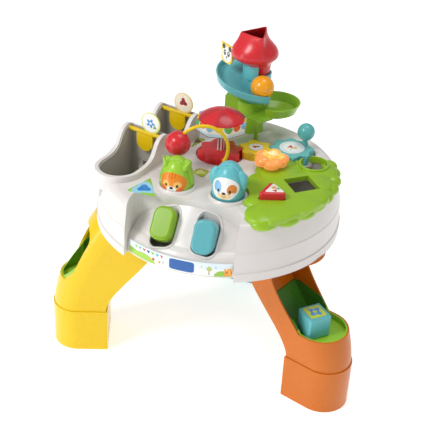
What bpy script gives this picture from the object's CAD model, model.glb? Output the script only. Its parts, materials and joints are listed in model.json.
import json
import math
import bmesh
import bpy
from mathutils import Matrix, Vector
from mathutils.bvhtree import BVHTree

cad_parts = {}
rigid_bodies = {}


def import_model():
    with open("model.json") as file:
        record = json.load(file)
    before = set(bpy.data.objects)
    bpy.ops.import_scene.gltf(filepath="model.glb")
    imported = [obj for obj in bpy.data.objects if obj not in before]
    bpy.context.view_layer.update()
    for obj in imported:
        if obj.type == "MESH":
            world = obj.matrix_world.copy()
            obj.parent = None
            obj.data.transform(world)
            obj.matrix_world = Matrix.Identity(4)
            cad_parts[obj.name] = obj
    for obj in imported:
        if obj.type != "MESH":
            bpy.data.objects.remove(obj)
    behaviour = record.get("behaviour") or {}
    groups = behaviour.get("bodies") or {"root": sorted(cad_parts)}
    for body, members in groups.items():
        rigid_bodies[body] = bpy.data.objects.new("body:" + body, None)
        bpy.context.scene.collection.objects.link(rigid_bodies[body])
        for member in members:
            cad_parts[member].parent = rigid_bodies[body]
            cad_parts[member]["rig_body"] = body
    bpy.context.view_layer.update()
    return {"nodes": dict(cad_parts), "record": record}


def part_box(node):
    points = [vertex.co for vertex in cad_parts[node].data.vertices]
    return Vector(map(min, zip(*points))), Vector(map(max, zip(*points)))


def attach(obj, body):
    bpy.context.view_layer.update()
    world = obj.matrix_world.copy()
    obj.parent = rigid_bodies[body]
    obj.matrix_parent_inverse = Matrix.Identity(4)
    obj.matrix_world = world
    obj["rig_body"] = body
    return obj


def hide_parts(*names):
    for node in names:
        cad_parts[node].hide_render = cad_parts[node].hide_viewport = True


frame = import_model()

mm = 0.001
deckTop = 0.385
tableAxis = (0.0, -0.0496)
weldDistance = 0.00002


# Camera and photograph
view = {"turn": 17.0, "height": 31.5, "roll": -3.0, "distance": 1.885, "focal": 1000.0, "picture": 430.0,
        "target": (-0.0195, -0.0046, 0.25), "sensor": 36.0, "farthest": 30.0}


def cameraAxes():
    turn = math.radians(view["turn"])
    height = math.radians(view["height"])
    roll = math.radians(view["roll"])
    back = Vector((math.sin(turn) * math.cos(height), -math.cos(turn) * math.cos(height), math.sin(height)))
    level = Vector((math.cos(turn), math.sin(turn), 0))
    over = level.cross(-back)
    right = level * math.cos(roll) - over * math.sin(roll)
    up = over * math.cos(roll) + level * math.sin(roll)
    return right, up, back


def cameraPlace():
    return Vector(view["target"]) + cameraAxes()[2] * view["distance"]


def makeCamera():
    right, up, back = cameraAxes()
    data = bpy.data.cameras.new("studioCamera")
    data.sensor_width = view["sensor"]
    data.lens = view["focal"] / view["picture"] * data.sensor_width
    data.clip_end = view["farthest"]
    camera = bpy.data.objects.new("studioCamera", data)
    turn = Matrix((right, up, back)).transposed().to_4x4()
    camera.matrix_world = Matrix.Translation(cameraPlace()) @ turn
    bpy.context.scene.collection.objects.link(camera)
    bpy.context.scene.camera = camera


def onLevel(pixelX, pixelY, level):
    right, up, back = cameraAxes()
    half = view["picture"] / 2
    ray = right * (pixelX - half) + up * (half - pixelY) - back * view["focal"]
    start = cameraPlace()
    return start + ray * ((level - start.z) / ray.z)


# Studio
studio = {"floorSize": 40.0, "floorColour": (0.90, 0.90, 0.90, 1.0), "floorRoughness": 0.9, "floorGlow": 0.55,
          "white": (1.0, 1.0, 1.0, 1.0), "worldStrength": 0.35, "aim": (0, 0, 0.3)}
studioLights = {
    "keyLight": {"place": (-1.3, -1.6, 2.3), "size": 0.9, "power": 35.0},
    "topLight": {"place": (0.3, 0.4, 2.6), "size": 1.3, "power": 15.0},
    "stripLight": {"place": (-1.5, -1.3, 0.55), "size": 0.16, "tall": 1.3, "power": 7.0},
    "fillLight": {"place": (1.9, -1.2, 1.2), "size": 0.8, "power": 3.5},
}


def makeStudio():
    bm = bmesh.new()
    bmesh.ops.create_grid(bm, x_segments=1, y_segments=1, size=studio["floorSize"] / 2)
    mesh = bpy.data.meshes.new("paleFloor")
    bm.to_mesh(mesh)
    bm.free()
    floor = bpy.data.objects.new("paleFloor", mesh)
    bpy.context.scene.collection.objects.link(floor)
    floorPaint = bpy.data.materials.new("floorPaint")
    floorPaint.use_nodes = True
    shader = floorPaint.node_tree.nodes["Principled BSDF"]
    shader.inputs["Base Color"].default_value = studio["floorColour"]
    shader.inputs["Roughness"].default_value = studio["floorRoughness"]
    shader.inputs["Emission Color"].default_value = studio["white"]
    shader.inputs["Emission Strength"].default_value = studio["floorGlow"]
    mesh.materials.append(floorPaint)
    world = bpy.data.worlds.new("studioWorld")
    world.use_nodes = True
    sky = world.node_tree.nodes["Background"]
    sky.inputs["Color"].default_value = studio["white"]
    sky.inputs["Strength"].default_value = studio["worldStrength"]
    bpy.context.scene.world = world
    bpy.context.scene.view_settings.view_transform = "Standard"  # colours are shown as they are set
    for name, spec in studioLights.items():
        light = bpy.data.lights.new(name, "AREA")
        light.energy = spec["power"]
        light.shape = "RECTANGLE" if "tall" in spec else "DISK"
        light.size = spec["size"]
        if "tall" in spec:
            light.size_y = spec["tall"]
        lamp = bpy.data.objects.new(name, light)
        lamp.location = spec["place"]
        aim = Vector(studio["aim"]) - lamp.location
        lamp.rotation_euler = aim.to_track_quat("-Z", "Y").to_euler()
        bpy.context.scene.collection.objects.link(lamp)


makeCamera()
makeStudio()
print("camera and studio are ready")


# Material helpers
def shade(red, green, blue):
    values = []
    for value in (red, green, blue):
        part = value / 255.0
        values.append(part / 12.92 if part <= 0.04045 else ((part + 0.055) / 1.055) ** 2.4)
    return (*values, 1.0)


def feed(tree, value, socket):
    if isinstance(value, bpy.types.NodeSocket):
        tree.links.new(value, socket)
    else:
        socket.default_value = value


def calc(tree, operation, *values, clamp=False):
    node = tree.nodes.new("ShaderNodeMath")
    node.operation = operation
    node.use_clamp = clamp
    for socket, value in zip(node.inputs, values):
        feed(tree, value, socket)
    return node.outputs[0]


def localPlace(tree, centre, turn=(0, 0, 0)):
    coordinates = tree.nodes.new("ShaderNodeTexCoord")
    mapping = tree.nodes.new("ShaderNodeMapping")
    mapping.vector_type = "TEXTURE"
    mapping.inputs["Location"].default_value = centre
    mapping.inputs["Rotation"].default_value = [math.radians(a) for a in turn]
    mapping.inputs["Scale"].default_value = (mm, mm, mm)
    tree.links.new(coordinates.outputs["Object"], mapping.inputs["Vector"])
    split = tree.nodes.new("ShaderNodeSeparateXYZ")
    tree.links.new(mapping.outputs["Vector"], split.inputs[0])
    return split.outputs[0], split.outputs[1], split.outputs[2]


def inked(tree, inside, sharpness=3.0):
    return calc(tree, "MULTIPLY_ADD", inside, sharpness, 0.5, clamp=True)


def spot(tree, x, y, cx, cy, rx, ry=None):
    ry = ry or rx
    across = calc(tree, "DIVIDE", calc(tree, "SUBTRACT", x, cx), rx)
    along = calc(tree, "DIVIDE", calc(tree, "SUBTRACT", y, cy), ry)
    squares = calc(tree, "ADD", calc(tree, "MULTIPLY", across, across), calc(tree, "MULTIPLY", along, along))
    reach = calc(tree, "SUBTRACT", 1.0, calc(tree, "SQRT", squares))
    return inked(tree, calc(tree, "MULTIPLY", reach, min(rx, ry)))


def bar(tree, x, y, cx, cy, hx, hy):
    across = calc(tree, "SUBTRACT", hx, calc(tree, "ABSOLUTE", calc(tree, "SUBTRACT", x, cx)))
    along = calc(tree, "SUBTRACT", hy, calc(tree, "ABSOLUTE", calc(tree, "SUBTRACT", y, cy)))
    return inked(tree, calc(tree, "MINIMUM", across, along))


def petals(tree, x, y, cx, cy, radius, depth, count, turn=0.0):
    across = calc(tree, "SUBTRACT", x, cx)
    along = calc(tree, "SUBTRACT", y, cy)
    squares = calc(tree, "ADD", calc(tree, "MULTIPLY", across, across), calc(tree, "MULTIPLY", along, along))
    angle = calc(tree, "MULTIPLY_ADD", calc(tree, "ARCTAN2", along, across), float(count), math.radians(turn))
    edge = calc(tree, "MULTIPLY_ADD", calc(tree, "COSINE", angle), depth, radius)
    return inked(tree, calc(tree, "SUBTRACT", edge, calc(tree, "SQRT", squares)))


def polygon(tree, x, y, cx, cy, reach, sides, turn=0.0):
    across = calc(tree, "SUBTRACT", x, cx)
    along = calc(tree, "SUBTRACT", y, cy)
    inside = None
    for i in range(sides):
        angle = math.radians(turn + 360.0 * i / sides)
        side = calc(tree, "MULTIPLY", across, math.cos(angle))
        side = calc(tree, "SUBTRACT", reach, calc(tree, "MULTIPLY_ADD", along, math.sin(angle), side))
        inside = side if inside is None else calc(tree, "MINIMUM", inside, side)
    return inked(tree, inside)


def both(tree, first, second):
    return calc(tree, "MULTIPLY", first, second)


def above(tree, value, limit):
    return inked(tree, calc(tree, "SUBTRACT", value, limit))


def below(tree, value, limit):
    return inked(tree, calc(tree, "SUBTRACT", limit, value))


def paint(tree, ground, mask, ink):
    mix = tree.nodes.new("ShaderNodeMix")
    mix.data_type = "RGBA"
    feed(tree, mask, mix.inputs[0])
    for value, socket in ((ground, mix.inputs[6]), (ink, mix.inputs[7])):
        plain = isinstance(value, tuple) and len(value) == 3  # red, green and blue up to 255
        feed(tree, shade(*value) if plain else value, socket)
    return mix.outputs[2]


# What a finish doesn't say is taken from here
plainPlastic = {"rough": 0.3, "coat": 0.25, "coatRough": 0.12, "shine": 0.4, "metal": 0.0, "soft": 0.0,
                "softScale": 0.004, "bump": 0.08, "bumpDistance": 0.0004, "grainScale": 900.0,
                "grainDetail": 2.0, "cloudScale": 14.0, "cloudDetail": 3.0, "cloud": 0.16,
                "cloudRange": (0.3, 0.7), "roughRange": (-0.05, 0.06), "shadow": (200, 192, 186)}


def plastic(name, finish, printing=None):
    look = {**plainPlastic, **finish}
    material = bpy.data.materials.new(name)
    material.use_nodes = True
    tree = material.node_tree
    shader = tree.nodes["Principled BSDF"]
    coordinates = tree.nodes.new("ShaderNodeTexCoord")
    cloudy = tree.nodes.new("ShaderNodeTexNoise")
    cloudy.inputs["Scale"].default_value = look["cloudScale"]
    cloudy.inputs["Detail"].default_value = look["cloudDetail"]
    grain = tree.nodes.new("ShaderNodeTexNoise")
    grain.inputs["Scale"].default_value = look["grainScale"]
    grain.inputs["Detail"].default_value = look["grainDetail"]
    for noise in (cloudy, grain):
        tree.links.new(coordinates.outputs["Object"], noise.inputs["Vector"])
    colour = shade(*look["colour"])
    if printing:
        colour = printing(tree, colour)
    darker = tree.nodes.new("ShaderNodeMix")
    darker.data_type = "RGBA"
    darker.blend_type = "MULTIPLY"
    feed(tree, calc(tree, "MULTIPLY", cloudy.outputs[0], look["cloud"]), darker.inputs[0])
    feed(tree, colour, darker.inputs[6])
    darker.inputs[7].default_value = shade(*look["shadow"])
    tree.links.new(darker.outputs[2], shader.inputs["Base Color"])
    rough = tree.nodes.new("ShaderNodeMapRange")
    for end, cloudValue, change in zip(("Min", "Max"), look["cloudRange"], look["roughRange"]):
        rough.inputs["From " + end].default_value = cloudValue
        rough.inputs["To " + end].default_value = look["rough"] + change
    tree.links.new(cloudy.outputs[0], rough.inputs["Value"])
    tree.links.new(rough.outputs[0], shader.inputs["Roughness"])
    bump = tree.nodes.new("ShaderNodeBump")
    bump.inputs["Strength"].default_value = look["bump"]
    bump.inputs["Distance"].default_value = look["bumpDistance"]
    tree.links.new(grain.outputs[0], bump.inputs["Height"])
    tree.links.new(bump.outputs[0], shader.inputs["Normal"])
    shader.inputs["Metallic"].default_value = look["metal"]
    shader.inputs["Coat Weight"].default_value = look["coat"]
    shader.inputs["Coat Roughness"].default_value = look["coatRough"]
    shader.inputs["Specular IOR Level"].default_value = look["shine"]
    shader.inputs["Subsurface Weight"].default_value = look["soft"]
    shader.inputs["Subsurface Scale"].default_value = look["softScale"]
    return material


# One finish for each slot of the record, and one for the small black features
finishes = {
    "shell": {"colour": (228, 223, 220), "rough": 0.34, "coat": 0.2, "cloud": 0.10},
    "grey_liner": {"colour": (190, 188, 180), "rough": 0.38, "coat": 0.1},
    "cover_white": {"colour": (222, 219, 214), "rough": 0.5, "coat": 0.0, "bump": 0.2},
    "label_print": {"colour": (244, 246, 244), "rough": 0.22, "coat": 0.4},
    "orange_plastic": {"colour": (212, 112, 4), "rough": 0.28, "coat": 0.12},
    "yellow_plastic": {"colour": (240, 202, 0), "rough": 0.26, "coat": 0.12},
    "blue_plastic": {"colour": (104, 192, 200), "rough": 0.28, "coat": 0.12},
    "green_plastic": {"colour": (158, 206, 56), "rough": 0.3, "coat": 0.12},
    "cup_green": {"colour": (70, 138, 42), "rough": 0.32, "coat": 0.2},
    "lime_plastic": {"colour": (152, 196, 36), "rough": 0.28, "coat": 0.12},
    "teal_plastic": {"colour": (96, 182, 182), "rough": 0.28, "coat": 0.12},
    "red_plastic": {"colour": (216, 44, 52), "rough": 0.26, "coat": 0.12},
    "white_print": {"colour": (246, 244, 238), "rough": 0.25, "coat": 0.4},
    "cat_face": {"colour": (238, 138, 30), "rough": 0.28, "coat": 0.12},
    "dog_face": {"colour": (240, 240, 238), "rough": 0.28, "coat": 0.12},
    "flower_orange": {"colour": (246, 150, 84), "rough": 0.25, "coat": 0.4, "soft": 0.3},
    "ball_orange": {"colour": (250, 168, 20), "rough": 0.24, "coat": 0.4},
    "steel": {"colour": (190, 190, 194), "rough": 0.3, "coat": 0.0, "metal": 1.0},
    "cell_metal": {"colour": (70, 74, 84), "rough": 0.4, "coat": 0.1, "metal": 0.4},
    "board_green": {"colour": (40, 120, 66), "rough": 0.5, "coat": 0.1},
    "speaker_black": {"colour": (38, 38, 40), "rough": 0.7, "coat": 0.0, "bump": 0.4},
    "blackPrint": {"colour": (28, 26, 26), "rough": 0.16, "coat": 0.6},
}
materials = {name: plastic(name, spec) for name, spec in finishes.items()}


def dress(node, material):
    data = frame["nodes"][node].data
    data.materials.clear()
    data.materials.append(material)


slotOf = {part["node"]: part["material_slot"] for part in frame["record"]["subparts"]}
for node, slot in slotOf.items():
    dress(node, materials[slot])
print("every node has its finish")


# Piece helpers
creaseAngle = 40


def finished(name, bm, body, materialName, smooth=True):
    bmesh.ops.recalc_face_normals(bm, faces=bm.faces[:])
    mesh = bpy.data.meshes.new(name)
    bm.to_mesh(mesh)
    bm.free()
    for face in mesh.polygons:
        face.use_smooth = smooth
    if smooth:
        mesh.set_sharp_from_angle(angle=math.radians(creaseAngle))
    piece = bpy.data.objects.new(name, mesh)
    bpy.context.scene.collection.objects.link(piece)
    mesh.materials.append(materials[materialName])
    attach(piece, body)
    return piece


def aimed(direction, place, roll=0.0):
    turn = Vector(direction).to_track_quat("Z", "Y").to_matrix().to_4x4()
    return Matrix.Translation(place) @ turn @ Matrix.Rotation(math.radians(roll), 4, "Z")


pebbleSides = 32
tipCurve = 0.8


def pebble(name, place, radii, body, materialName, direction=(0, 0, 1), roll=0.0, tip=1.0):
    bm = bmesh.new()
    bmesh.ops.create_uvsphere(bm, u_segments=pebbleSides, v_segments=pebbleSides // 2, radius=1.0)
    for v in bm.verts:
        if v.co.z > 0:
            narrow = 1.0 - (1.0 - tip) * v.co.z ** tipCurve  # an ear narrows towards its tip
            v.co.x *= narrow
            v.co.y *= narrow
    bmesh.ops.scale(bm, vec=Vector(radii) * mm, verts=bm.verts)
    bmesh.ops.transform(bm, matrix=aimed(direction, place, roll), verts=bm.verts)
    return finished(name, bm, body, materialName)


def roundedPlate(name, corners, thickness, rounding, body, materialName, place=None):
    bm = bmesh.new()
    verts = [bm.verts.new(corner) for corner in corners]
    face = bm.faces.new(verts)
    bmesh.ops.bevel(bm, geom=face.verts[:], offset=rounding, offset_type="OFFSET", segments=6, profile=0.5,
                    affect="VERTICES", material=-1)
    grown = bmesh.ops.extrude_face_region(bm, geom=bm.faces[:])
    raised = [v for v in grown["geom"] if isinstance(v, bmesh.types.BMVert)]
    bmesh.ops.translate(bm, verts=raised, vec=Vector((0, 0, thickness)))
    top = [e for e in bm.edges if all(v in raised for v in e.verts)]
    bmesh.ops.bevel(bm, geom=top, offset=thickness * 0.4, segments=2, profile=0.5, affect="EDGES",
                    material=-1)
    if place is not None:
        bmesh.ops.transform(bm, matrix=aimed((0, 0, 1), place), verts=bm.verts)
    return finished(name, bm, body, materialName)


def surfaceOf(node):
    return BVHTree.FromObject(frame["nodes"][node], bpy.context.evaluated_depsgraph_get())


def surfaceHit(surface, start, direction):
    place, normal, index, far = surface.ray_cast(Vector(start), Vector(direction).normalized())
    return place, normal


# Pop-up heads: printed faces with raised eyes and nose. Marks are in mm from a point that is
# underTop metres below the head's top
heads = {
    "cat": {"face": (238, 138, 30), "hood": (158, 206, 56), "frame": (0, 19, 23.5, 19),
            "collar": (74, 146, 50), "cheeks": (236, 112, 52), "brow": (206, 104, 28),
            "eyePatches": [(-10, 17, 6.5, 6.5, (250, 196, 96)), (10, 17, 6.5, 6.5, (250, 196, 96))],
            "muzzle": (0, 9, 8.5, 6.0, (250, 248, 242))},
    "dog": {"face": (248, 248, 246), "hood": (104, 192, 200), "frame": (0, 19, 23, 19.5),
            "collar": (70, 158, 166), "cheeks": (248, 244, 240), "brow": (248, 248, 246),
            "eyePatches": [(-11.5, 21, 7, 11, (138, 192, 232)), (12.5, 19, 7.5, 9.5, (226, 136, 56))],
            "muzzle": (0, 7, 12, 5.5, (248, 214, 160))},
}
faceMarks = {"underTop": 0.055, "frontLimit": 2, "cheekAcross": 15, "cheek": (10, 4.5, 4), "stripeUp": 33,
             "stripeHalf": 0.8, "stripes": ((-5, 4), (0, 6), (5, 4)), "smile": (0, 8.0, 3.8, 3.0),
             "smileHollow": (0, 8.6, 3.2, 2.6), "smileInk": (70, 44, 34), "collarTop": 1.5}
eyeSize = {"apart": 9.8, "up": 16.0, "radii": (2.2, 2.7, 1.2)}
noseSize = {"up": 12.0, "radii": (3.4, 2.4, 1.4)}
featureSink = 0.0002  # metres
headFront = -0.06  # metres, well in front of the face


def headMiddle(animal):
    low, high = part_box(animal + "_head")
    return Vector(((low.x + high.x) / 2, (low.y + high.y) / 2, high.z - faceMarks["underTop"]))


def facePrint(animal):
    spec = heads[animal]

    def printing(tree, ground):
        x, y, z = localPlace(tree, headMiddle(animal))
        front = below(tree, y, faceMarks["frontLimit"])

        def stamp(colour, mask, ink):
            return paint(tree, colour, both(tree, front, mask), ink)

        colour = stamp(spec["hood"], spot(tree, x, z, *spec["frame"]), ground)
        for *place, ink in spec["eyePatches"]:
            colour = stamp(colour, spot(tree, x, z, *place), ink)
        for side in (-1, 1):
            cheek = spot(tree, x, z, side * faceMarks["cheekAcross"], *faceMarks["cheek"])
            colour = stamp(colour, cheek, spec["cheeks"])
        *place, ink = spec["muzzle"]
        colour = stamp(colour, spot(tree, x, z, *place), ink)
        for across, length in faceMarks["stripes"]:
            stripe = bar(tree, x, z, across, faceMarks["stripeUp"], faceMarks["stripeHalf"], length)
            colour = stamp(colour, stripe, spec["brow"])
        smile = both(tree, spot(tree, x, z, *faceMarks["smile"]), below(tree, z, faceMarks["smile"][1]))
        hollow = calc(tree, "SUBTRACT", 1.0, spot(tree, x, z, *faceMarks["smileHollow"]))
        colour = stamp(colour, both(tree, smile, hollow), faceMarks["smileInk"])
        return paint(tree, colour, below(tree, z, faceMarks["collarTop"]), spec["collar"])
    return printing


def addHead(animal):
    finish = {**finishes[animal + "_face"], "colour": heads[animal]["face"]}
    materials[animal + "Face"] = plastic(animal + "Face", finish, facePrint(animal))
    dress(animal + "_head", materials[animal + "Face"])
    middle = headMiddle(animal)
    surface = surfaceOf(animal + "_head")
    features = [("Eye" + str(i), side * eyeSize["apart"], eyeSize) for i, side in enumerate((-1, 1))]
    features.append(("Nose", 0.0, noseSize))
    for feature, across, size in features:
        start = middle + Vector((across * mm, headFront, size["up"] * mm))
        place, normal = surfaceHit(surface, start, (0, 1, 0))
        pebble(animal + feature, place - normal * featureSink, size["radii"], animal, "blackPrint",
               normal)


ears = {"cat": {"across": 18.5, "back": -4.0, "up": 46.0, "radii": (10.5, 5.5, 13.0), "lean": 30.0,
                "tip": 0.16, "finish": "green_plastic"},
        "dog": {"across": 23.0, "back": -4.0, "up": 30.0, "radii": (6.5, 10.0, 17.0), "lean": -8.0,
                "tip": 1.0, "finish": "blue_plastic"}}


def addEars(animal):
    spec = ears[animal]
    lean = math.radians(spec["lean"])
    for i, side in enumerate((-1, 1)):
        place = headMiddle(animal) + Vector((side * spec["across"], spec["back"], spec["up"])) * mm
        up = Vector((math.sin(lean) * side, 0, math.cos(lean)))
        pebble(animal + "Ear" + str(i), place, spec["radii"], animal, spec["finish"], up,
               tip=spec["tip"])


for animal in ears:
    addEars(animal)
for animal in heads:
    addHead(animal)
print("heads have their ears and faces")


# Prints that cover a whole node: motifs are kind, place, size and ink
motifShapes = {"flower": (5, 0.32, 20), "drop": (3, 0.28, 70)}  # petals, their depth, turn
triangleTurn = 40


def discPrint(node, rings, motifs, turn=0.0, upright=False):
    low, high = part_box(node)

    def printing(tree, ground):
        x, y, z = localPlace(tree, (low + high) / 2, (0, 0, turn))
        if upright:
            y = z
        colour = ground
        for radius, ink in rings:
            colour = paint(tree, colour, spot(tree, x, y, 0, 0, radius), ink)
        for kind, cx, cy, size, ink in motifs:
            if kind in motifShapes:
                count, depth, start = motifShapes[kind]
                mask = petals(tree, x, y, cx, cy, size, size * depth, count, start)
            elif kind == "triangle":
                mask = polygon(tree, x, y, cx, cy, size, 3, triangleTurn)
            else:
                mask = spot(tree, x, y, cx, cy, size)
            colour = paint(tree, colour, mask, ink)
        return colour
    return printing


# One ink after the other, changing where the counter passes a whole number
def choose(tree, colour, counter, mask, inks):
    choice = calc(tree, "FRACT", calc(tree, "DIVIDE", calc(tree, "FLOOR", counter), len(inks)))
    for i, ink in enumerate(inks):
        here = calc(tree, "COMPARE", choice, i / len(inks), 0.1)
        colour = paint(tree, colour, both(tree, mask, here), ink)
    return colour


band = {"panels": 16, "width": 16.0, "scallop": (7.4, 9.0), "skirt": -12.5, "skirtInk": (196, 230, 246),
        "inks": ((248, 206, 40), (92, 184, 96), (232, 92, 44), (134, 196, 236)), "hem": 1.2,
        "hemInk": (150, 44, 84)}


def bandPrint(tree, ground):
    low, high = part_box("carousel_band")
    middle = (low + high) / 2
    x, y, z = localPlace(tree, (middle.x, middle.y, high.z))
    turn = calc(tree, "ARCTAN2", y, x)
    turn = calc(tree, "MULTIPLY_ADD", turn, band["panels"] / (2 * math.pi), 2.0 * band["panels"])
    across = calc(tree, "MULTIPLY_ADD", calc(tree, "FRACT", turn), band["width"], -band["width"] / 2)
    scallop = spot(tree, across, z, 0, 0, *band["scallop"])
    colour = paint(tree, ground, below(tree, z, band["skirt"]), band["skirtInk"])
    colour = choose(tree, colour, turn, scallop, band["inks"])
    foot = (low.z - high.z) / mm
    return paint(tree, colour, below(tree, z, foot + band["hem"]), band["hemInk"])


post = {"stripes": 7.0, "ink": (172, 56, 74)}


def postPrint(tree, ground):
    low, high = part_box("carousel_post")
    x, y, z = localPlace(tree, (low + high) / 2)
    stripe = calc(tree, "SINE", calc(tree, "MULTIPLY", calc(tree, "ARCTAN2", y, x), post["stripes"]))
    return paint(tree, ground, above(tree, stripe, 0.0), post["ink"])


label = {"radius": 207.0, "sky": 0.5, "skyInk": (228, 243, 250),
         "hills": [(-97, 0, 24, 13, (150, 200, 66)), (-70, -2, 26, 15, (166, 208, 70)),
                   (72, -1, 13, 12, (150, 200, 66))],
         "flags": (-88.0, -30.0), "flagStep": 9.0, "flagDrop": 6.5, "flagSlope": -15.0, "flagMargin": 3.0,
         "flagInks": ((226, 80, 76), (56, 70, 140), (146, 200, 62), (90, 186, 210)),
         "motifs": [(-48, 9, 2.8, (214, 60, 56)), (-36, 7, 2.4, (240, 168, 60)),
                    (-29, 9, 2.8, (200, 206, 214)), (-78, 17, 1.6, (250, 224, 90)),
                    (38, 17, 1.4, (250, 190, 60)), (62, 17, 1.4, (120, 190, 230))],
         "trunk": (51.0, 7, 0.7, 5, (140, 100, 60)), "crown": (51.0, 14, 4.6, 0.8, 7, (190, 206, 120)),
         "motifDepth": 0.3, "motifPetals": 5, "flagOffset": 40.0, "houses": (80.0, 88.5, 97.0),
         "house": (7, 4.0, 6), "turret": (2.6, 14, 1.7), "door": (8, 1.4), "houseInk": (244, 164, 44),
         "doorInk": (140, 84, 34),
         "badge": (4.0, 22.0, 10.5), "badgeCorner": 7.0,
         "badgeLayers": ((1.1, (250, 250, 250)), (0.0, (24, 94, 170)))}


def labelPrint(tree, ground):
    low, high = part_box("front_label")
    x, y, z = localPlace(tree, (*tableAxis, low.z))
    tall = (high.z - low.z) / mm
    along = calc(tree, "ARCTAN2", x, calc(tree, "MULTIPLY", y, -1.0))
    along = calc(tree, "MULTIPLY", along, label["radius"])
    colour = paint(tree, ground, above(tree, z, tall * label["sky"]), label["skyInk"])
    for *place, ink in label["hills"]:
        colour = paint(tree, colour, spot(tree, along, z, *place), ink)
    turn = calc(tree, "MULTIPLY_ADD", along, 1 / label["flagStep"], label["flagOffset"])
    part = calc(tree, "ABSOLUTE", calc(tree, "SUBTRACT", calc(tree, "FRACT", turn), 0.5))
    drop = calc(tree, "MULTIPLY_ADD", part, label["flagSlope"], label["flagDrop"])
    line = tall - label["flagMargin"]
    flag = inked(tree, calc(tree, "SUBTRACT", drop, calc(tree, "SUBTRACT", line, z)))
    first, last = label["flags"]
    stretch = both(tree, above(tree, along, first), below(tree, along, last))
    flag = both(tree, flag, both(tree, below(tree, z, line), stretch))
    colour = choose(tree, colour, turn, flag, label["flagInks"])
    for cx, cz, size, ink in label["motifs"]:
        motif = petals(tree, along, z, cx, cz, size, size * label["motifDepth"], label["motifPetals"])
        colour = paint(tree, colour, motif, ink)
    *place, ink = label["trunk"]
    colour = paint(tree, colour, bar(tree, along, z, *place), ink)
    *place, ink = label["crown"]
    colour = paint(tree, colour, petals(tree, along, z, *place), ink)
    middle, half, reach = label["house"]
    out, up, radius = label["turret"]
    for i, cx in enumerate(label["houses"]):  # each house is a little taller than the one before
        colour = paint(tree, colour, bar(tree, along, z, cx, middle, half, reach + i), label["houseInk"])
        for side in (-out, out):
            colour = paint(tree, colour, spot(tree, along, z, cx + side, up + i, radius), label["houseInk"])
        colour = paint(tree, colour, spot(tree, along, z, cx, *label["door"]), label["doorInk"])
    cx, hx, hz = label["badge"]
    for grow, ink in label["badgeLayers"]:
        across = calc(tree, "DIVIDE", calc(tree, "SUBTRACT", along, cx), hx + grow)
        upright = calc(tree, "DIVIDE", calc(tree, "SUBTRACT", z, tall / 2), hz + grow)
        sizes = [calc(tree, "POWER", calc(tree, "ABSOLUTE", v), label["badgeCorner"])
                 for v in (across, upright)]
        reach = calc(tree, "SUBTRACT", 1.0, calc(tree, "ADD", *sizes))
        colour = paint(tree, colour, inked(tree, reach, 2.0), ink)
    return colour


sign = {"turn": -39, "ground": (246, 214, 52), "black": (36, 36, 38),
        "face": (0, -1, 14.5, 15, (250, 250, 248)), "nose": (0, -6.5, 2.6, 1.8), "mouth": (0, -9.5, 0.5, 2),
        "sides": ((10, 12, 5, 5, (36, 36, 38)), (6, 1, 4, 5.5, (44, 44, 46)),
                  (5.6, 2, 1.5, 1.5, (250, 250, 250)))}


def signPrint(tree, ground):
    low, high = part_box("tower_sign")
    x, y, z = localPlace(tree, (low + high) / 2, (0, 0, sign["turn"]))
    *place, ink = sign["face"]
    colour = paint(tree, sign["ground"], spot(tree, x, z, *place), ink)
    for side in (-1, 1):
        for across, up, rx, rz, ink in sign["sides"]:
            colour = paint(tree, colour, spot(tree, x, z, side * across, up, rx, rz), ink)
    colour = paint(tree, colour, spot(tree, x, z, *sign["nose"]), sign["black"])
    return paint(tree, colour, bar(tree, x, z, *sign["mouth"]), sign["black"])


cupLip = {"level": 138.0, "ink": (158, 210, 52), "orange_chute_cup": (-20.0, 222.0),
          "yellow_chute_cup": (200.0, 250.0)}


def cupPrint(node):
    turn, reach = cupLip[node]

    def printing(tree, ground):
        x, y, z = localPlace(tree, (*tableAxis, 0.0), (0, 0, turn))
        return paint(tree, ground, both(tree, above(tree, x, reach), above(tree, z, cupLip["level"])),
                     cupLip["ink"])
    return printing


speakerDots = {"pixel": (257.0, 133.0), "step": 5.0, "radius": 1.15, "reach": (19.0, 15.0),
               "offset": 100.0, "under": -1.0, "ink": (92, 90, 88)}


def deckPrint(tree, ground):
    x, y, z = localPlace(tree, onLevel(*speakerDots["pixel"], deckTop))
    step = speakerDots["step"]
    cells = []
    for value in (x, y):
        part = calc(tree, "FRACT", calc(tree, "MULTIPLY_ADD", value, 1 / step, speakerDots["offset"]))
        cells.append(calc(tree, "MULTIPLY_ADD", part, step, -step / 2))
    dots = spot(tree, *cells, 0, 0, speakerDots["radius"])
    dots = both(tree, dots, spot(tree, x, y, 0, 0, *speakerDots["reach"]))
    return paint(tree, ground, both(tree, dots, above(tree, z, speakerDots["under"])), speakerDots["ink"])


roofFolds = {"half": 4.0, "sharpness": 8.0, "ink": (192, 42, 52)}


def roofPrint(tree, ground):
    low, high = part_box("carousel_roof")
    x, y, z = localPlace(tree, (low + high) / 2)
    fold = calc(tree, "SINE", calc(tree, "MULTIPLY", calc(tree, "ARCTAN2", y, x), roofFolds["half"]))
    return paint(tree, ground, inked(tree, fold, roofFolds["sharpness"]), roofFolds["ink"])


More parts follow.
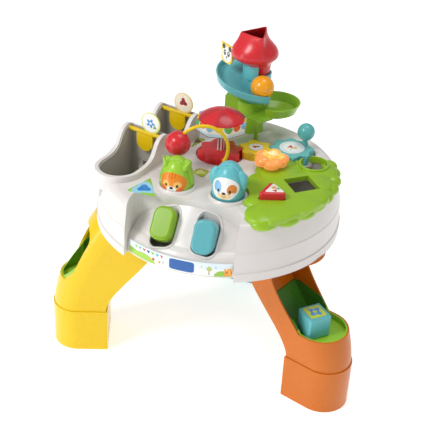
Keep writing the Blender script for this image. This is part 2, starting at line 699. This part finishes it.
gearMotifs = {
    "yellow": [("flower", -2, 0, 4.2, (206, 62, 70)), ("drop", 4, 3, 2.4, (120, 70, 80))],
    "teal": [("triangle", -3, 1, 3.6, (222, 70, 50)), ("triangle", 6, -1, 3.0, (240, 190, 50)),
             ("spot", 0, -8, 1.6, (110, 180, 110))],
}
gateMotifs = [
    [("flower", 0, -1, 7.0, (70, 150, 214)), ("spot", 0, -1, 2.6, (250, 250, 250)),
     ("drop", 9, -7, 3.0, (120, 170, 90))],
    [("drop", 0, 1, 7.0, (168, 36, 48)), ("spot", -2, 3, 1.6, (60, 20, 24)),
     ("spot", 3, -1, 1.6, (60, 20, 24))],
]
gateRings = [[(40, (222, 232, 120)), (17.5, (250, 252, 250))],
             [(40, (240, 214, 150)), (17.5, (250, 240, 214))]]
gateTurn = -13.5
prints = {
    "orange_chute_cup": cupPrint("orange_chute_cup"), "yellow_chute_cup": cupPrint("yellow_chute_cup"),
    "table_top": deckPrint, "carousel_roof": roofPrint,
    "yellow_gear_disc": discPrint("yellow_gear_disc", [(9.5, (252, 248, 246))], gearMotifs["yellow"]),
    "teal_gear_disc": discPrint("teal_gear_disc", [(21, (226, 240, 248)), (17, (246, 250, 252))],
                                gearMotifs["teal"]),
    "gate_disc_1": discPrint("gate_disc_1", gateRings[0], gateMotifs[0], gateTurn, True),
    "gate_disc_2": discPrint("gate_disc_2", gateRings[1], gateMotifs[1], gateTurn, True),
    "carousel_band": bandPrint, "carousel_post": postPrint, "front_label": labelPrint,
    "tower_sign": signPrint,
}
for node, printing in prints.items():
    materials[node] = plastic(node + "Print", finishes[slotOf[node]], printing)
    dress(node, materials[node])
ownTones = {"green_lever": (132, 178, 16), "red_gear": (236, 58, 64), "yellow_gear": (255, 222, 50),
            "teal_gear": (112, 194, 192), "blue_lever": (98, 178, 186), "lower_track": (150, 198, 52)}
for node, tone in ownTones.items():
    materials[node] = plastic(node + "Tone", {**finishes[slotOf[node]], "colour": tone})
    dress(node, materials[node])
print("prints are on")


# Light-up flower: five petals and a heart, in mm, but sink and heartRise in metres
flower = {"petals": 5, "reach": 17.5, "petalRadii": (13.5, 12.0, 8.5), "heartRadii": (12.5, 12.5, 9.0),
          "turn": 18.0, "sink": 0.004, "heartRise": 0.002, "petalDip": -0.05,
          "halo": (2, 3, 19, 18, (252, 196, 88)), "heart": (0, 4, 11, 10, (255, 244, 190)),
          "glowColour": (255, 170, 80), "glow": 0.35}


def flowerGlow(tree, ground):
    low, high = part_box("flower_button")
    x, y, z = localPlace(tree, ((low.x + high.x) / 2, (low.y + high.y) / 2, high.z))
    colour = ground
    for part in ("halo", "heart"):
        *place, ink = flower[part]
        colour = paint(tree, colour, spot(tree, x, y, *place), ink)
    return colour


def addFlower():
    materials["flowerGlow"] = plastic("flowerGlow", finishes["flower_orange"], flowerGlow)
    shader = materials["flowerGlow"].node_tree.nodes["Principled BSDF"]
    shader.inputs["Emission Color"].default_value = shade(*flower["glowColour"])
    shader.inputs["Emission Strength"].default_value = flower["glow"]
    dress("flower_button", materials["flowerGlow"])
    low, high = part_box("flower_button")
    middle = Vector(((low.x + high.x) / 2, (low.y + high.y) / 2, high.z - flower["sink"]))
    for i in range(flower["petals"]):
        angle = flower["turn"] + 360.0 * i / flower["petals"]
        way = Vector((math.cos(math.radians(angle)), math.sin(math.radians(angle)), flower["petalDip"]))
        pebble("flowerPetal" + str(i), middle + way * flower["reach"] * mm, flower["petalRadii"], "flower",
               "flowerGlow", roll=angle)
    pebble("flowerHeart", middle + Vector((0, 0, flower["heartRise"])), flower["heartRadii"], "flower",
           "flowerGlow")


addFlower()
print("the flower glows")


# Stickers on the deck, placed by the photograph's pixels
stickers = {
    "fishSticker": {"pixels": [(126.5, 190.5), (150.5, 178), (155.5, 197)], "ground": (152, 202, 60),
                    "inks": [(0.62, (150, 214, 240)), (0.34, (40, 130, 210))]},
    "leafSticker": {"pixels": [(191, 172.5), (198.5, 168.2), (210, 171), (203, 178)],
                    "ground": (168, 182, 62), "inks": [(0.5, (206, 214, 120))]},
    "archSticker": {"pixels": [(190.5, 148), (197, 137.5), (206, 139.5)], "ground": (150, 172, 56),
                    "inks": [(0.4, (120, 60, 56))]},
}


stickerPlate = {"thickness": 0.0006, "rounding": 0.004}
leafMotif = {"depth": 0.22, "petals": 3, "turn": 30}


def addSticker(name, spec):
    corners = [onLevel(px, py, deckTop) for px, py in spec["pixels"]]
    middle = sum(corners, Vector()) / len(corners)
    reach = min((corner - middle).length for corner in corners) / mm

    def printing(tree, ground):
        x, y, z = localPlace(tree, middle)
        colour = ground
        for share, ink in spec["inks"]:
            size = reach * share
            mask = petals(tree, x, y, 0, 0, size, size * leafMotif["depth"], leafMotif["petals"],
                          leafMotif["turn"])
            colour = paint(tree, colour, mask, ink)
        return colour
    materials[name] = plastic(name, {**finishes["white_print"], "colour": spec["ground"]}, printing)
    flat = [Vector((c.x, c.y, deckTop)) for c in corners]
    roundedPlate(name, flat, stickerPlate["thickness"], stickerPlate["rounding"], "table", name)


for name, spec in stickers.items():
    addSticker(name, spec)


# Moulded nodes with their edges rounded over
flatAngle = 2.0
softNodes = {
    "sorter_cover": {"offset": 0.0048, "angle": 40, "segments": 4},
    "red_gear": {"offset": 0.0032, "angle": 50, "segments": 4},
    "yellow_gear": {"offset": 0.0022, "angle": 50, "segments": 3},
    "teal_gear": {"offset": 0.0026, "angle": 50, "segments": 3},
    "triangle_block": {"offset": 0.0040, "angle": 40, "segments": 4},
    "cube_block": {"offset": 0.0035, "angle": 40, "segments": 4},
}


def softened(node, spec):
    source = frame["nodes"][node]
    bm = bmesh.new()
    bm.from_mesh(source.data)
    bmesh.ops.remove_doubles(bm, verts=bm.verts, dist=weldDistance)
    bmesh.ops.dissolve_limit(bm, angle_limit=math.radians(flatAngle), verts=bm.verts[:], edges=bm.edges[:])
    sharp = [e for e in bm.edges if e.is_manifold and e.calc_face_angle(0.0) > math.radians(spec["angle"])]
    bmesh.ops.bevel(bm, geom=sharp, offset=spec["offset"], segments=spec["segments"], profile=0.5,
                    affect="EDGES", material=-1, clamp_overlap=True)
    bmesh.ops.triangulate(bm, faces=bm.faces[:])
    body = source["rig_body"]
    piece = finished(node + "Soft", bm, body, node if node in materials else slotOf[node])
    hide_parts(node)
    return piece


for node, spec in softNodes.items():
    softened(node, spec)
print("moulded edges are rounded")


# Pale rims moulded round the two lever openings
leverRims = {"middles": {"green_lever": -0.042, "blue_lever": 0.031}, "halfWidth": 0.0222,
             "front": -0.2422, "back": -0.1865, "corner": 0.0150, "steps": 8, "thick": 0.0023,
             "from": 0.5, "lowest": 0.3}


# A rounded rectangle drawn on the sloping console
def rimPath(middleX):
    surface = surfaceOf("front_console")
    corner = leverRims["corner"]
    middleY = (leverRims["front"] + leverRims["back"]) / 2
    halfX = leverRims["halfWidth"] - corner
    halfY = (leverRims["back"] - leverRims["front"]) / 2 - corner
    points = []
    for sideX, sideY, first in ((1, -1, -90), (1, 1, 0), (-1, 1, 90), (-1, -1, 180)):
        for i in range(leverRims["steps"]):
            angle = math.radians(first + 90.0 * i / (leverRims["steps"] - 1))
            x = middleX + sideX * halfX + corner * math.cos(angle)
            y = middleY + sideY * halfY + corner * math.sin(angle)
            place, normal = surfaceHit(surface, (x, y, leverRims["from"]), (0, 0, -1))
            if place is not None and place.z > leverRims["lowest"]:
                points.append(place)
    return points


def addLeverRim(lever, middleX):
    points = rimPath(middleX)
    curve = bpy.data.curves.new(lever + "Rim", "CURVE")
    curve.dimensions = "3D"
    curve.bevel_depth = leverRims["thick"]
    curve.bevel_resolution = 4
    spline = curve.splines.new("POLY")
    spline.points.add(len(points) - 1)
    for point, place in zip(spline.points, points):
        point.co = (*place, 1.0)
    spline.use_cyclic_u = True
    drawn = bpy.data.objects.new(lever + "RimCurve", curve)
    bpy.context.scene.collection.objects.link(drawn)
    bpy.context.view_layer.update()
    mesh = bpy.data.meshes.new_from_object(drawn.evaluated_get(bpy.context.evaluated_depsgraph_get()))
    bm = bmesh.new()
    bm.from_mesh(mesh)
    bpy.data.objects.remove(drawn)
    bpy.data.meshes.remove(mesh)
    bmesh.ops.remove_doubles(bm, verts=bm.verts, dist=weldDistance)
    finished(lever + "Rim", bm, "table", "shell")


for lever, middleX in leverRims["middles"].items():
    addLeverRim(lever, middleX)


# Leafy puffs along the sorter cover's outer edge: angle, reach in m, radii across and along in mm
puffs = {"level": 0.3818, "thick": 11.2, "lobes": [
    (-51.0, 0.195, 22.0, 26.0), (-39.0, 0.199, 20.0, 24.5), (-28.0, 0.199, 19.0, 22.5),
    (-18.8, 0.198, 17.5, 20.0), (-9.5, 0.198, 17.0, 18.5), (-0.8, 0.198, 17.0, 17.5),
    (7.4, 0.198, 16.5, 16.5), (15.2, 0.197, 16.0, 16.0), (22.6, 0.195, 15.0, 15.0)]}


def addPuffs():
    for i, (angle, reach, across, along) in enumerate(puffs["lobes"]):
        way = Vector((math.cos(math.radians(angle)), math.sin(math.radians(angle)), 0))
        place = Vector((*tableAxis, puffs["level"])) + way * reach
        pebble("leafPuff" + str(i), place, (across, along, puffs["thick"]), "table", "lime_plastic",
               roll=angle)


addPuffs()


# Roof over the tower: a bulb that closes to a three-cornered mouth
roof = {"axis": (0.012, 0.1104), "shift": -0.007, "neck": 0.0240, "wide": 0.0445, "shoulder": 0.95,
        "throat": [0.503, 0.522], "bulb": [(0.527, 0.80), (0.533, 0.95), (0.537, 1.0), (0.549, 0.95)],
        "closing": [(0.561, 0.55), (0.572, 0.82), (0.580, 1.0)],
        "mouth": [(240.0, 31.0), (267.5, 25.5), (263.5, 39.0)], "mouthGrow": 1.02, "leastFacing": 0.02,
        "wall": 0.0024, "sides": 48}


def triangleReach(angle, corners):
    reach = math.inf
    for i, corner in enumerate(corners):
        other = corners[(i + 1) % 3]
        side = other - corner
        out = Vector((side.y, -side.x)).normalized()
        if out.dot(corner) < 0:
            out = -out
        facing = math.cos(angle) * out.x + math.sin(angle) * out.y
        if facing > roof["leastFacing"]:
            reach = min(reach, out.dot(corner) / facing)
    return reach


def addRoof():
    axis = Vector(roof["axis"])
    bulb = axis + Vector((roof["shift"], 0))
    mouthLevel = roof["closing"][-1][0]
    corners = [onLevel(px, py, mouthLevel).xy for px, py in roof["mouth"]]
    middle = (corners[0] + corners[1] + corners[2]) / 3
    corners = [corner - middle for corner in corners]
    rings = [(level, axis, roof["neck"], 0.0) for level in roof["throat"]]
    rings += [(level, bulb, roof["wide"] * part, 0.0) for level, part in roof["bulb"]]
    rings += [(level, bulb + (middle - bulb) * share, roof["wide"] * roof["shoulder"], share)
              for level, share in roof["closing"]]
    bm = bmesh.new()
    bmesh.ops.create_circle(bm, segments=roof["sides"], radius=1.0, cap_ends=False)
    verts = bm.verts[:]
    edges = bm.edges[:]
    before = Vector((0, 0))
    for i, (level, centre, radius, share) in enumerate(rings):
        if i:
            grown = bmesh.ops.extrude_edge_only(bm, edges=edges)["geom"]
            verts = [g for g in grown if isinstance(g, bmesh.types.BMVert)]
            edges = [g for g in grown if isinstance(g, bmesh.types.BMEdge)]
            edges = [e for e in edges if all(v in verts for v in e.verts)]
        for v in verts:
            angle = math.atan2(v.co.y - before.y, v.co.x - before.x)
            size = radius
            if share:  # the round bulb turns into the three-cornered mouth
                size += (triangleReach(angle, corners) * roof["mouthGrow"] - radius) * share
            v.co = Vector((centre.x + size * math.cos(angle), centre.y + size * math.sin(angle), level))
        before = centre
    piece = finished("towerRoof", bm, "table", "red_plastic")
    wall = piece.modifiers.new("wall", "SOLIDIFY")
    wall.thickness = roof["wall"]
    wall.offset = -1.0
    smooth = piece.modifiers.new("smooth", "SUBSURF")
    smooth.levels = 1
    smooth.render_levels = 1
    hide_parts("funnel_roof")


addRoof()


# Blue wall that rises from the spiral to the roof
blueWall = {"radius": 0.0268, "low": 0.494, "high": 0.534, "first": 175.0, "last": 292.0,
            "wall": 0.0022, "sides": 72}


def addBlueWall():
    bm = bmesh.new()
    bmesh.ops.create_circle(bm, segments=blueWall["sides"], radius=blueWall["radius"], cap_ends=False)
    away = []
    for v in bm.verts:
        turn = math.degrees(math.atan2(v.co.y, v.co.x)) % 360
        if not blueWall["first"] <= turn <= blueWall["last"]:
            away.append(v)
    bmesh.ops.delete(bm, geom=away, context="VERTS")
    bmesh.ops.translate(bm, verts=bm.verts, vec=(*roof["axis"], blueWall["low"]))
    grown = bmesh.ops.extrude_edge_only(bm, edges=bm.edges[:])["geom"]
    raised = [g for g in grown if isinstance(g, bmesh.types.BMVert)]
    bmesh.ops.translate(bm, verts=raised, vec=(0, 0, blueWall["high"] - blueWall["low"]))
    bmesh.ops.recalc_face_normals(bm, faces=bm.faces[:])
    bmesh.ops.solidify(bm, geom=bm.faces[:], thickness=blueWall["wall"])
    finished("blueWall", bm, "table", "blue_plastic")


addBlueWall()


# Ball with its raised ring, block stickers
def boxPlace(node, share=(0.5, 0.5, 0.5)):
    low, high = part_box(node)
    return Vector([low[i] + (high[i] - low[i]) * share[i] for i in range(3)])


ringSides = 10
ringSteps = 64


def ringPiece(name, place, radius, thick, body, materialName, direction):
    bm = bmesh.new()
    bmesh.ops.create_circle(bm, segments=ringSides, radius=thick * mm, cap_ends=False)
    bmesh.ops.rotate(bm, verts=bm.verts, cent=(0, 0, 0), matrix=Matrix.Rotation(math.pi / 2, 3, "X"))
    bmesh.ops.translate(bm, verts=bm.verts, vec=(radius * mm, 0, 0))
    bmesh.ops.spin(bm, geom=bm.verts[:] + bm.edges[:], cent=(0, 0, 0), axis=(0, 0, 1), angle=2 * math.pi,
                   steps=ringSteps, use_merge=True, use_duplicate=False)
    bmesh.ops.transform(bm, matrix=aimed(direction, place), verts=bm.verts)
    return finished(name, bm, body, materialName)


ballRing = {"direction": (0.42, -0.80, 0.42), "ringRadius": 14.0, "ballRadius": 21.5, "thick": 0.9}
toRing = Vector(ballRing["direction"]).normalized()
ringUp = math.sqrt(ballRing["ballRadius"] ** 2 - ballRing["ringRadius"] ** 2) * mm
ringPiece("ballRing", boxPlace("ball") + toRing * ringUp, ballRing["ringRadius"], ballRing["thick"], "ball",
          "ball_orange", toRing)

blockStickers = {
    "triangleSticker": {"node": "triangle_block", "body": "triangle", "ground": (250, 248, 244), "sides": 3,
                        "radius": 0.0195, "turn": 320.0, "thickness": 0.0005, "rounding": 0.004,
                        "kinds": [("flower", -4, 2, 4, (232, 150, 60)), ("drop", 5, -2, 3.4, (210, 60, 56)),
                                  ("flower", 2, 6, 3, (120, 180, 80))]},
    "cubeSticker": {"node": "cube_block", "body": "cube", "ground": (204, 226, 76), "sides": 4,
                    "radius": 0.0225, "turn": 0.0, "thickness": 0.0005, "rounding": 0.004,
                    "kinds": [("petals", 0, 0, 10.5, (84, 160, 226)), ("flower", 0, 0, 4, (210, 226, 90))]},
}


blockMotif = {"petals": {"flower": 5, "drop": 3, "petals": 4}, "depth": 0.28, "turn": 40}


def addBlockSticker(name, spec):
    top = boxPlace(spec["node"], (0.5, 0.5, 1.0))

    def printing(tree, ground):
        x, y, z = localPlace(tree, top, (0, 0, spec["turn"]))
        colour = ground
        for kind, cx, cy, size, ink in spec["kinds"]:
            mask = petals(tree, x, y, cx, cy, size, size * blockMotif["depth"], blockMotif["petals"][kind],
                          blockMotif["turn"])
            colour = paint(tree, colour, mask, ink)
        return colour
    materials[name] = plastic(name, {**finishes["white_print"], "colour": spec["ground"]}, printing)
    corners = []
    for i in range(spec["sides"]):
        angle = math.radians(spec["turn"] + 90.0 + 360.0 * i / spec["sides"])
        corners.append(Vector((spec["radius"] * math.cos(angle), spec["radius"] * math.sin(angle), 0)))
    roundedPlate(name, corners, spec["thickness"], spec["rounding"], spec["body"], name,
                 place=top)


for name, spec in blockStickers.items():
    addBlockSticker(name, spec)
print("blocks and tower are dressed")
